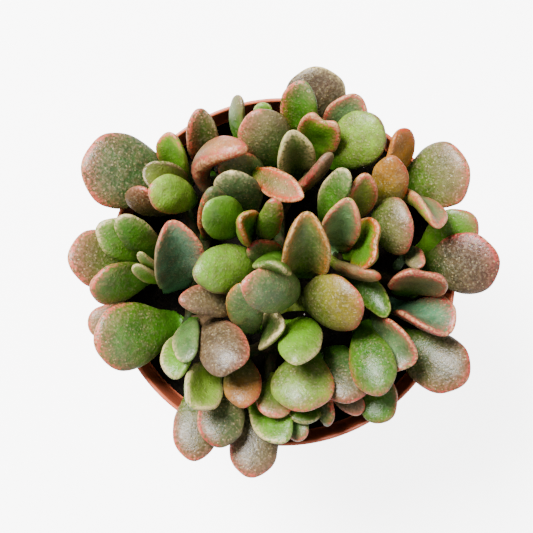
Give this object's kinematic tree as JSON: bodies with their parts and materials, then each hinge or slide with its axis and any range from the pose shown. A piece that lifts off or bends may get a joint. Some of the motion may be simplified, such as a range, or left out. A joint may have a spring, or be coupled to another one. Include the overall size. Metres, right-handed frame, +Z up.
{
  "type": "potted jade plant",
  "caption": "Small succulent with thick, curled, red-edged leaves on branching stems, in a round terracotta-coloured nursery pot with soil.",
  "frame": {"origin": "middle of the pot's foot, on the surface that it stands on", "axes": "+Z up; -Y toward a viewer at the front; the largest single outer leaf points to +X"},
  "size_m": [0.1239, 0.1202, 0.1313],
  "materials": {
    "pot": "moulded terracotta-coloured polypropylene, satin",
    "soil": "dark damp peat potting mix, matte and crumbly",
    "stem": "brown-green succulent stem, matte",
    "leaf": "fleshy waxy leaf skin, satin, green with red-pink margins and fine pale dots"
  },
  "bodies": {
    "root": {"leaf_centre_1": "leaf", "leaf_centre_2": "leaf", "leaf_centre_4": "leaf", "leaf_east_1": "leaf", "leaf_east_2": "leaf", "leaf_east_3": "leaf", "leaf_east_4": "leaf", "leaf_inner_east_1": "leaf", "leaf_inner_east_2": "leaf", "leaf_inner_east_3": "leaf", "leaf_inner_northwest_1": "leaf", "leaf_inner_northwest_2": "leaf", "leaf_inner_northwest_3": "leaf", "leaf_inner_northwest_4": "leaf", "leaf_inner_south_1": "leaf", "leaf_inner_south_2": "leaf", "leaf_inner_south_3": "leaf", "leaf_inner_south_4": "leaf", "leaf_inner_south_5": "leaf", "leaf_inner_south_6": "leaf", "leaf_north_1": "leaf", "leaf_north_2": "leaf", "leaf_north_3": "leaf", "leaf_north_4": "leaf", "leaf_north_5": "leaf", "leaf_north_left_1": "leaf", "leaf_north_left_2": "leaf", "leaf_north_middle_1": "leaf", "leaf_north_middle_2": "leaf", "leaf_north_middle_3": "leaf", "leaf_northeast_1": "leaf", "leaf_northeast_2": "leaf", "leaf_northeast_3": "leaf", "leaf_northeast_5": "leaf", "leaf_northwest_1": "leaf", "leaf_northwest_2": "leaf", "leaf_northwest_4": "leaf", "leaf_south_1": "leaf", "leaf_south_2": "leaf", "leaf_south_left_1": "leaf", "leaf_south_left_2": "leaf", "leaf_south_left_3": "leaf", "leaf_south_left_4": "leaf", "leaf_south_right_1": "leaf", "leaf_south_right_3": "leaf", "leaf_southeast_1": "leaf", "leaf_southeast_3": "leaf", "leaf_southeast_4": "leaf", "leaf_southwest_1": "leaf", "leaf_southwest_3": "leaf", "leaf_west_1": "leaf", "leaf_west_2": "leaf", "leaf_west_3": "leaf", "leaf_west_5": "leaf", "pot": "pot", "soil": "soil", "stem_east": "stem", "stem_north": "stem", "stem_south": "stem", "stem_west": "stem"}
  },
  "joints": []
}
